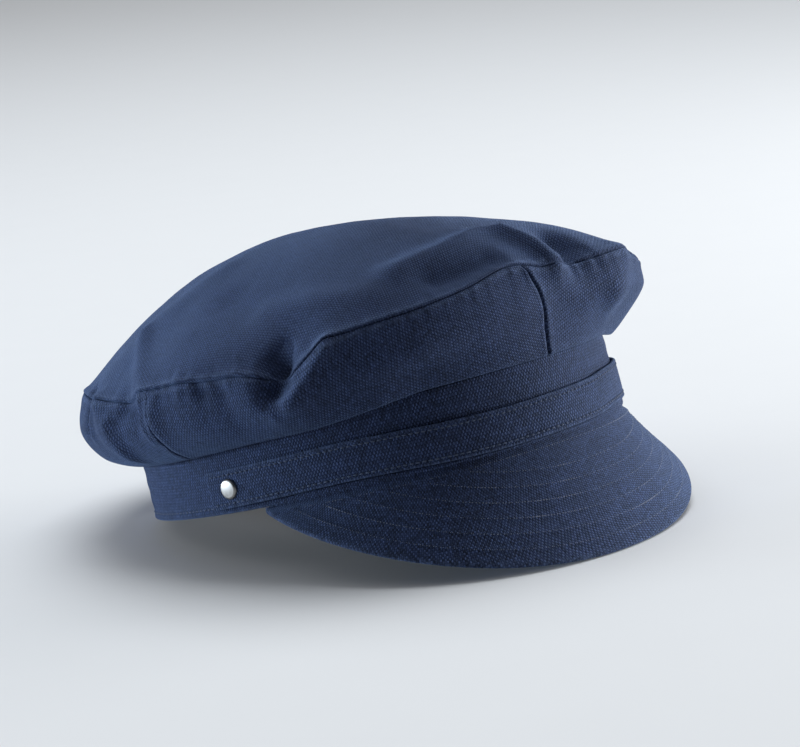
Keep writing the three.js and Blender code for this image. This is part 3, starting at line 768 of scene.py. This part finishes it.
def thread_material(name, colour):
    """Twisted sewing thread: diagonal plies along each stitch, with painted shade in the grooves
    between them.
    """
    n = Nodes(bpy.data.materials.new(name))
    twist = {"Vector": n.add("UVMap", uv_map="cloth").outputs["UV"], "Scale": 0.9, "Distortion": 0.4}
    ply = n.add("TexWave", twist, bands_direction="DIAGONAL").outputs["Fac"]
    # The grooves between the plies are darkened as painted shade
    base = n.mix(ply, tuple(0.55 * c for c in colour) + (1.0,), (*colour, 1.0))
    bump = n.add("Bump", {"Strength": 0.5, "Distance": 0.08 * MM, "Height": ply})
    return n.finish({
        "Base Color": base, "Roughness": 0.7, "Normal": bump.outputs[0], "Specular IOR Level": 0.18,
        "Sheen Weight": 0.15, "Sheen Roughness": 0.4, "Sheen Tint": SHEEN_TINT,
    })


def metal_material(name):
    """Satin nickel with a fine brushed grain and a few duller patches."""
    n = Nodes(bpy.data.materials.new(name))
    place = n.add("TexCoord").outputs["Object"]
    patches = n.noise(place, 420.0, 3.0, 0.6)
    grain = n.noise(place, 5200.0, 2.0, 0.6)
    rough = n.math("MULTIPLY_ADD", grain, 0.06, n.span(patches, 0.3, 0.7, 0.33, 0.46))
    base = n.mix(patches, (0.26, 0.253, 0.245, 1.0), (0.34, 0.33, 0.32, 1.0))
    bump = n.add("Bump", {"Strength": 0.12, "Distance": 0.03 * MM, "Height": grain})
    return n.finish({
        "Base Color": base, "Roughness": rough, "Metallic": 1.0, "Normal": bump.outputs[0],
    })


crown_top_canvas = canvas("crown_top_canvas_weave", turn=20.0, contrast=0.54)
crown_canvas = canvas("crown_canvas_weave", contrast=0.85)
band_canvas = canvas("band_canvas_weave")
visor_canvas = canvas("visor_canvas_weave", turn=30.0, contrast=0.88, speckle=0.6, fineness=0.8)
thread = thread_material("navy_thread", (0.075, 0.100, 0.165))
visor_thread = thread_material("visor_thread", (0.20, 0.23, 0.31))
nickel = metal_material("satin_nickel")


# Crown
def spaced(knots):
    """Values through (value, steps to the next) pairs."""
    values = []
    for (start, steps), (end, _) in zip(knots[:-1], knots[1:]):
        values += list(np.linspace(start, end, steps, endpoint=False))
    return np.array(values + [knots[-1][0]])


# Distances from a seam where the cloth needs fine steps
NEAR_SEAM = np.array([0.0, 0.2, 0.4, 0.65, 0.95, 1.3, 1.7, 2.2, 2.8, 3.6, 4.6])
COLUMN_STEP = 1.35


def panel_columns(start, end, radius):
    """Angles across a panel, finer beside its two seams."""
    near = NEAR_SEAM / radius / DEGREE
    step = COLUMN_STEP / radius / DEGREE
    count = int((end - start - 2 * near[-1]) / step) + 1
    inner = np.linspace(start + near[-1], end - near[-1], count)
    return np.concatenate([start + near[:-1], inner, (end - near[:-1])[::-1]])


def developed(offset, height, radius, grain=0.0):
    """Flat pattern of a piece cut as an arc, so that its grain turns towards its ends.
    grain is the turn of its middle from straight, in degrees."""
    turn = offset / radius + grain * DEGREE
    return np.stack([(radius + height) * np.sin(turn), (radius + height) * np.cos(turn)], -1)


below_rim = 1 - NEAR_SEAM / RIM_LEVEL_CLOTH
SIDE_LEVELS = np.concatenate([
    spaced([(0.0, 4), (1 / 6, 7), (FOLD_LEVEL, 9), (4 / 6, 10), (5 / 6, 9), (below_rim[-1], 0)]),
    below_rim[:-1][::-1],
])


def crown_side(panel, following):
    """One side panel, from its seam to the next and from the band to the rim."""
    span = (following.at_band - panel.at_band) % 360
    share = (panel_columns(0.0, span, CROWN_MEAN_RADIUS) / span)[:, None]
    levels = SIDE_LEVELS[None, :]
    first = seam_angle(panel, levels)
    last = first + (seam_angle(following, levels) - first) % 360
    angle = lerp(first, last, share)
    level = levels + 0 * angle
    outer, wear_and_seam_shade = fine_crown(angle, level)
    wear_and_seam_shade = np.maximum(wear_and_seam_shade, 0.5 * bell(level - FOLD_LEVEL, 0.05))
    # Flat pattern: distances along the band and up the cloth from its fold over the band
    height = distances_along(smooth_crown(angle, level))
    fold = np.argmin(np.abs(SIDE_LEVELS - FOLD_LEVEL))
    height = height - height[:, fold:fold + 1]
    arc = ring_arc(angle) - ring_arc(first[0, 0] + span / 2)
    uv = developed(arc, height, PANEL_RADIUS, panel.grain)
    piece = shell(panel.node + "_cloth", outer, inner_crown(angle, level), uv, wear_and_seam_shade, capped=True)
    place_piece(piece, crown_canvas, panel.node)


TOP_LEVELS = np.concatenate([
    1 + NEAR_SEAM[:-1] / TOP_CLOTH,
    spaced([(1 + NEAR_SEAM[-1] / TOP_CLOTH, 22), (1.30, 22), (1.8, 9), (2.0, 0)]),
])


def crown_top():
    """The round top, which meets the side panels along the rim."""
    angle = np.linspace(0.0, 360.0, 421)[:, None]
    level = TOP_LEVELS[None, :] + 0 * angle
    angle = angle + 0 * level
    outer, wear_and_seam_shade = fine_crown(angle, level)
    inner = inner_crown(angle, level)
    # Both faces close on one point over the middle
    for face, drop in ((outer, 0.0), (inner, CROWN_WALL)):
        face[:, -1] = face[0, -1]
        face[:, -1, 2] = top_point(np.array(0.0), np.array(2.0))[2] - drop
    turn = np.radians(angle)
    reach = (2 - level) * TOP_CLOTH
    uv = np.stack([reach * np.sin(turn), reach * np.cos(turn)], -1)
    piece = shell("crown_top_cloth", outer, inner, uv, wear_and_seam_shade, skip=len(TOP_LEVELS) - 1)
    place_piece(piece, crown_top_canvas, "crown_top")


for panel, following in zip(PANELS, PANELS[1:] + PANELS[:1]):
    crown_side(panel, following)
crown_top()


# Stitches
def stitch_run(points, normals, pitch=STITCH_PITCH, length=STITCH_LENGTH):
    """Points and pattern of a row of stitches along a path on the cloth, stitch by stitch."""
    arc = distances_along(points)
    count = max(int(arc[-1] / pitch), 1)
    starts = (np.arange(count) + 0.5) * arc[-1] / count - length / 2
    along = np.linspace(0.0, 1.0, STITCH_RINGS)
    # Each stitch rises out of its hole, lies over the cloth and dips again
    arch = np.sin(math.pi * along) ** 0.5 * STITCH_RISE - STITCH_SINK
    girth = 0.35 + 0.65 * np.sin(math.pi * along) ** 0.4
    turn = np.arange(STITCH_SIDES) * 2 * math.pi / STITCH_SIDES
    rings, uvs = [], []
    for start in starts:
        at = start + along * length
        centre = np.stack([np.interp(at, arc, points[:, c]) for c in range(3)], -1)
        up = unit(np.stack([np.interp(at, arc, normals[:, c]) for c in range(3)], -1))
        side = np.cross(unit(np.gradient(centre, axis=0)), up)
        centre = centre + up * arch[:, None]
        across = 0.5 * STITCH_WIDTH * girth[:, None]
        ring = centre[:, None] + (side * across)[:, None] * np.cos(turn)[None, :, None]
        rings.append(ring + (up * across * 0.75)[:, None] * np.sin(turn)[None, :, None])
        uvs.append(stacked(at[:, None], turn * STITCH_WIDTH / 2))
    return np.array(rings), np.array(uvs)


def stitch_piece(name, runs, material):
    """One piece from several rows of stitches."""
    rings, uvs = (np.concatenate(parts) for parts in zip(*runs))
    size = STITCH_RINGS * STITCH_SIDES
    body = tube_faces(STITCH_RINGS, STITCH_SIDES)
    ends = np.array([np.arange(STITCH_SIDES)[::-1], np.arange(size - STITCH_SIDES, size)])
    faces = []
    for shift in range(0, len(rings) * size, size):
        faces += (body + shift).tolist() + (ends + shift).tolist()
    piece = mesh_piece(name, rings.reshape(-1, 3), faces, uvs.reshape(-1, 2))
    place_piece(piece, material)


def stitch_dip(distance):
    """Dent of the cloth along a row of stitches."""
    return -STITCH_DIP * bell(distance, STITCH_DIP_WIDTH)


# Band
def wall_loop(high, wall, edge, steps):
    """Closed loop round the section of an upright wall: distance in from its outer face, and
    height, with both edges rounded over."""
    heights = np.linspace(edge, high - edge, steps)
    turn = np.linspace(0.0, math.pi / 2, 4)
    start, end = edge * (1 - np.cos(turn)), edge * (1 - np.sin(turn))
    return np.concatenate([
        np.stack([0 * heights, heights], -1),
        np.stack([start, high - end], -1)[1:],
        np.stack([wall - end, high - start], -1)[:-1],
        np.stack([wall + 0 * heights, heights[::-1]], -1),
        np.stack([wall - start, end], -1)[1:],
        np.stack([end, start], -1)[:-1],
    ])


def band():
    """The stiff band, with a stitched hem along its lower edge."""
    angle = np.linspace(0.0, 360.0, 361)[:, None]
    # The band fills its gap to the crown's seat
    inward, height = wall_loop(BAND_HEIGHT + 0.28, BAND_WALL, BAND_EDGE, 30).T
    outside = inward < BAND_WALL / 2
    from_row = height - BAND_STITCH_HEIGHT
    hem = 0.18 * smoothstep(-from_row, -0.6, 0.6)
    waves = 0.10 * np.sin(height * 0.9 + np.radians(angle) * 3)
    out = band_out(height) - inward + np.where(outside, stitch_dip(from_row) + hem + waves, 0.0)
    uv = stacked(ring_arc(angle) + 0 * out, height + 40.0 * ~outside)
    wear_and_seam_shade = bell(height, 1.1) + 0.35 * bell(from_row - 1.2, 0.8) + 0 * out
    piece = loft("band_cloth", ring_point(angle, out, height), uv, wear_and_seam_shade)
    place_piece(piece, band_canvas, "band")
    path = np.linspace(0.0, 360.0, 1441)
    out = band_out(BAND_STITCH_HEIGHT) + STITCH_SEAT
    run = stitch_run(ring_point(path, out, BAND_STITCH_HEIGHT), ring_normal(path))
    stitch_piece("band_stitches", [run], thread)


band()


# Strap
def strap_low(angle):
    """Height of the strap's lower edge."""
    lift = column_at(*zip(*STRAP_PATH), turn_between(0, angle), closed=False)
    return lift * (BAND_HEIGHT - STRAP_WIDTH)


STRAP_ROWS = (STRAP_STITCH_INSET, STRAP_WIDTH - STRAP_STITCH_INSET)


def strap_relief(arc, across):
    """Dips along the stitch rows, fuller edges outside them and slight puckers between."""
    relief = 0.0
    for row in STRAP_ROWS:
        pull = np.sin(math.pi * arc / STITCH_PITCH) * bell(across - row, 1.6)
        relief += stitch_dip(across - row) + 0.07 * pull
    edge = np.minimum(across, STRAP_WIDTH - across)
    relief += 0.16 * (1 - smoothstep(edge, 1.0, 1.9))
    return relief + 0.12 * np.sin(arc / 17.0) * np.sin(arc / 7.1 + across * 0.25)


def strap():
    """The strap round the front of the band, with rounded edges and cut ends."""
    ends = ring_arc(np.array([-STRAP_END_ANGLE, STRAP_END_ANGLE]))
    near = np.array([0.0, 0.12, 0.35, 0.7, 1.2])
    between = np.arange(ends[0] + 2.2, ends[1] - 2.2, 1.15)
    arc = np.concatenate([ends[0] + near, between, (ends[1] - near)[::-1]])[:, None]
    from_end = np.minimum(arc - ends[0], ends[1] - arc)
    # The ends are rounded over too
    fullness = np.sqrt(1 - (1 - np.clip(from_end / 0.9, 0, 1)) ** 2)
    inward, across = wall_loop(STRAP_WIDTH, STRAP_WALL, STRAP_EDGE, 34).T
    angle = angle_at_arc(arc)
    outside = inward < STRAP_WALL / 2
    off = STRAP_WALL / 2 - inward + np.where(outside, strap_relief(arc, across), 0.0)
    height = strap_low(angle) + across
    out = band_out(height) + STRAP_OFF + STRAP_WALL / 2 + off * np.maximum(fullness, 0.12)
    uv = stacked(arc + 3.1, across + 25.0 * ~outside)
    wear_and_seam_shade = bell(np.minimum(across, STRAP_WIDTH - across), 0.9) + 0.5 * bell(from_end, 0.9)
    piece = loft("strap_cloth", ring_point(angle, out, height), uv, wear_and_seam_shade, capped=True)
    place_piece(piece, band_canvas, "strap")
    runs = []
    path = angle_at_arc(np.arange(ends[0] + 1.6, ends[1] - 1.6, 0.5))
    for row in STRAP_ROWS:
        height = strap_low(path) + row
        out = band_out(height) + STRAP_OFF + STRAP_WALL + STITCH_SEAT
        runs.append(stitch_run(ring_point(path, out, height), ring_normal(path), pitch=2.4, length=1.8))
    stitch_piece("strap_stitches", runs, thread)


strap()


# Visor
VISOR_HALF_ARC = VISOR_HALF_ANGLE * DEGREE * VISOR_MEAN_RADIUS


def visor_edge(count):
    """The visor's free edge laid flat: distance round from its middle, and out from the band."""
    place = np.linspace(-1, 1, count)
    return np.stack([place * VISOR_HALF_ARC, visor_reach(place)], -1)


def edge_distance(place, down):
    """Distance over the visor from its free edge, measured square to that edge."""
    edge = visor_edge(801)
    points = stacked(place * VISOR_HALF_ARC, down * visor_reach(place))
    nearest = np.array([np.hypot(*(edge - p).T).min() for p in points.reshape(-1, 2)])
    return nearest.reshape(points.shape[:-1])


def visor_rows():
    """Rows of stitches parallel to the visor's free edge, as (place, down) paths."""
    edge = visor_edge(1601)
    ahead = unit(np.gradient(edge, axis=0))
    inward = np.stack([ahead[:, 1], -ahead[:, 0]], -1)
    paths = []
    for inset in VISOR_ROWS:
        row = edge + inward * inset
        place = row[:, 0] / VISOR_HALF_ARC
        reach = visor_reach(np.clip(place, -0.98, 0.98))
        keep = (row[:, 1] > VISOR_ROOT_ROW + 0.6) & (np.abs(place) < 0.95) & (row[:, 1] < reach)
        paths.append((place[keep], row[keep, 1] / reach[keep]))
    place = np.linspace(-0.86, 0.86, 801)
    paths.append((place, VISOR_ROOT_ROW / visor_reach(place)))
    return paths


def visor_normal(place, down):
    """Unit vector up out of the visor."""
    around = visor_point(place + 0.004, down, 0.0) - visor_point(place - 0.004, down, 0.0)
    out = visor_point(place, down + 0.01, 0.0) - visor_point(place, down - 0.01, 0.0)
    return unit(np.cross(out, around))


def visor():
    """The curved visor, quilted by its rows of stitches, with a rounded edge."""
    place = np.linspace(-VISOR_END, VISOR_END, 241)[:, None]
    reach = visor_reach(place)
    radius = np.minimum(VISOR_WALL / 2, 0.45 * reach)
    turn = np.linspace(math.pi / 2, -math.pi / 2, 10)[None, :]
    down = np.linspace(0.0, 1.0, 64)[None, :] * (1 - radius / reach)
    roll_down = 1 - radius / reach * (1 - np.cos(turn))
    roll_depth = 0.5 - 0.5 * np.sin(turn) + 0 * reach
    downs = np.concatenate([down, roll_down[:, 1:-1], down[:, ::-1]], axis=1)
    depths = np.concatenate([0 * down, roll_depth[:, 1:-1], 1 + 0 * down], axis=1)
    points = visor_point(place, downs, depths)
    normal = visor_normal(place, np.clip(downs, 0.02, 0.98))
    from_edge = edge_distance(place, downs)
    relief = np.zeros(downs.shape)
    for inset in VISOR_ROWS:
        relief += stitch_dip(from_edge - inset)
    relief += stitch_dip(downs * reach - VISOR_ROOT_ROW)
    relief *= smoothstep(downs * reach, 1.0, 3.0)
    relief += 0.10 * cloth_noise(points, 14.0, 5.0)
    face = np.where(depths < 0.01, 1.0, np.where(depths > 0.99, -1.0, 0.0))
    columns = points + normal * (relief * face)[..., None]
    along = -downs * reach
    wear_and_seam_shade = 0.9 * bell(from_edge, 1.5)
    # The visor's cloth runs up over the band's edge and ends just below the strap
    angle = visor_angle(place)
    top = (strap_low(angle) - LIP_GAP) * smoothstep(1 - np.abs(place), 0.015, 0.12)
    up = np.linspace(1.0, 0.0, 6)[None, :]
    height = lerp(-STRAP_OFF, top, up)
    off = smoothstep(up, 0.0, 0.3)
    outer = ring_point(angle, band_out(height) + LIP_WALL * off, height)
    inner = ring_point(angle, band_out(height) + LIP_GAP * off, height)[:, ::-1]
    columns = np.concatenate([outer[:, :-1], columns, inner], axis=1)
    along = np.concatenate([height[:, :-1], along, height[:, ::-1]], axis=1)
    wear_and_seam_shade = np.concatenate([0 * height[:, :-1], wear_and_seam_shade, 0 * height], axis=1)
    uv = developed(place * VISOR_HALF_ARC + 0 * along, along, VISOR_PATTERN_RADIUS)
    piece = loft("visor_cloth", columns, uv, wear_and_seam_shade, capped=True)
    place_piece(piece, visor_canvas, "visor")
    runs = []
    for path_place, path_down in visor_rows():
        for depth, side in ((0.0, 1.0), (1.0, -1.0)):
            normals = side * visor_normal(path_place, path_down)
            points = visor_point(path_place, path_down, depth) + normals * STITCH_SEAT
            runs.append(stitch_run(points, normals, pitch=2.5, length=1.9))
    stitch_piece("visor_stitches", runs, visor_thread)


visor()


# Rivets
def rivet(name, side):
    """Domed rivet through the strap and the band, with a flat washer inside."""
    seat = STRAP_OFF + STRAP_WALL - 0.1
    inside = -BAND_WALL - 0.1
    radius = RIVET_DIAMETER / 2
    profile = [
        (0.0, inside - WASHER_WALL), (WASHER_RADIUS - 0.3, inside - WASHER_WALL),
        (WASHER_RADIUS, inside - WASHER_WALL + 0.2), (WASHER_RADIUS, inside),
        (SHANK_RADIUS, inside), (SHANK_RADIUS, seat - 0.15),
        (radius - 0.25, seat - 0.15), (radius, seat + 0.15),
    ]
    # The head: a rounded rim over a broad middle that is nearly flat
    top = STRAP_OFF + STRAP_WALL + 0.3 + 0.62 * RIVET_HEIGHT
    rim_height = top - 0.22
    bevel = 0.30 * radius
    for turn in np.linspace(0.0, math.pi / 2, 9):
        height = lerp(seat + 0.35, rim_height, math.sin(turn))
        profile.append((radius - bevel * (1 - math.cos(turn)), height))
    for share in (0.62, 0.52, 0.40, 0.26, 0.12):
        profile.append((radius * share, top - 0.22 * (share / 0.70) ** 2))
    profile.append((0.0, top))
    profile = np.array(profile)
    angle = np.array(side * (STRAP_END_ANGLE - RIVET_INSET / (BAND_LENGTH / 2 * DEGREE)))
    height = strap_low(angle) + STRAP_WIDTH / 2
    centre = ring_point(angle, band_out(height), height)
    axis = ring_normal(angle)
    across = np.cross(axis, [0, 0, 1.0])
    up = np.cross(across, axis)
    turn = np.linspace(0.0, 2 * math.pi, 65)[:, None, None]
    spoke = across * np.cos(turn) + up * np.sin(turn)
    columns = centre + axis * profile[None, :, 1:] + spoke * profile[None, :, :1]
    uv = stacked(turn[:, :, 0] * radius, profile[:, 1])
    wear_and_seam_shade = np.zeros(columns.shape[:2])
    piece = loft(name + "_metal", columns, uv, wear_and_seam_shade, skip=len(profile) - 1)
    place_piece(piece, nickel, name)


rivet("rivet_right", 1)
rivet("rivet_left", -1)


# Studio
FLOOR_SIZE = 16.0
FLOOR_GREY = 0.72


def floor_material():
    n = Nodes(bpy.data.materials.new("pale_floor"))
    grain = n.noise(n.add("TexCoord").outputs["Object"], 30.0, 3.0)
    darker = 0.985 * FLOOR_GREY
    base = n.mix(grain, (darker, darker, darker, 1.0), (FLOOR_GREY, FLOOR_GREY, FLOOR_GREY, 1.0))
    return n.finish({"Base Color": base, "Roughness": 0.9, "Specular IOR Level": 0.1})


bpy.ops.mesh.primitive_plane_add(size=FLOOR_SIZE, location=(0.0, 0.0, 0.0))
floor = bpy.context.object
floor.name = "studio_floor"
floor.data.materials.append(floor_material())


def studio_world():
    """Pale surroundings, darkest towards the cap's front on its right."""
    n = Nodes(bpy.data.worlds.new("studio"))
    where = n.add("TexCoord").outputs["Generated"]
    dot = n.add("VectorMath", {0: where, 1: (-0.70, -0.70, -0.10)}, operation="DOT_PRODUCT")
    level = n.span(dot.outputs["Value"], -0.35, 0.8, 0.60, 0.0, interpolation_type="SMOOTHSTEP")
    background = n.add("Background", {"Color": (0.95, 0.97, 1.0, 1.0), "Strength": level})
    n.add("OutputWorld", {"Surface": background.outputs[0]})
    return n.owner


bpy.context.scene.world = studio_world()


def direction(azimuth, elevation):
    """Unit vector from the cap, in degrees. Azimuth 0 is to its front, 90 to its left."""
    a, e = math.radians(azimuth), math.radians(elevation)
    return Vector((math.sin(a) * math.cos(e), -math.cos(a) * math.cos(e), math.sin(e)))


def softbox(name, azimuth, elevation, distance, size, power, colour=(1.0, 1.0, 1.0)):
    """Wide soft light aimed at the cap."""
    away = direction(azimuth, elevation)
    data = bpy.data.lights.new(name, "AREA")
    data.shape = "RECTANGLE"
    data.size, data.size_y = size
    data.energy = power
    data.color = colour
    light = bpy.data.objects.new(name, data)
    light.location = Vector((0, 0, 0.06)) + away * distance
    light.rotation_euler = away.to_track_quat("Z", "Y").to_euler()
    bpy.context.scene.collection.objects.link(light)


softbox("left_softbox", -142, 1, 1.5, (1.1, 0.16), 27.0, (0.74, 0.87, 1.0))
softbox("right_softbox", 60, 2, 1.5, (1.1, 0.24), 40.0)
softbox("top_softbox", 110, 70, 2.6, (2.2, 2.2), 57.0, (0.88, 0.94, 1.0))

# Camera, from the photograph: where it stands round the cap, how it is rolled and its lens
IMAGE_WIDTH = 800.0
IMAGE_HEIGHT = 747.0
SENSOR = 36.0
CAMERA_TURN = 45.0
CAMERA_RISE = 4.5
CAMERA_ROLL = 14.6
CAMERA_DISTANCE = 1250.0
FOCAL_PIXELS = 3106.25
# Where the cap's own origin falls in the picture
ORIGIN_PIXEL = (385.7, 460.6)

toward = direction(-CAMERA_TURN, CAMERA_RISE)
right = direction(90.0 - CAMERA_TURN, 0.0)
facing = Matrix(LEAN_BACK.tolist()) @ Matrix((right, toward.cross(right), toward)).transposed()
pan = math.atan((ORIGIN_PIXEL[0] - IMAGE_WIDTH / 2) / FOCAL_PIXELS)
tilt = math.atan((ORIGIN_PIXEL[1] - IMAGE_HEIGHT / 2) / FOCAL_PIXELS)
for turn, axis in ((-CAMERA_ROLL * DEGREE, "Z"), (pan, "Y"), (tilt, "X")):
    facing = facing @ Matrix.Rotation(turn, 3, axis)
camera_data = bpy.data.cameras.new("camera")
camera_data.sensor_width = SENSOR
camera_data.lens = FOCAL_PIXELS * SENSOR / IMAGE_WIDTH
camera = bpy.data.objects.new("camera", camera_data)
place = to_world(np.array(toward)[None] * CAMERA_DISTANCE)[0]
camera.matrix_world = Matrix.Translation(Vector(place)) @ facing.to_4x4()
bpy.context.scene.collection.objects.link(camera)
bpy.context.scene.camera = camera
bpy.context.scene.view_settings.view_transform = "Standard"
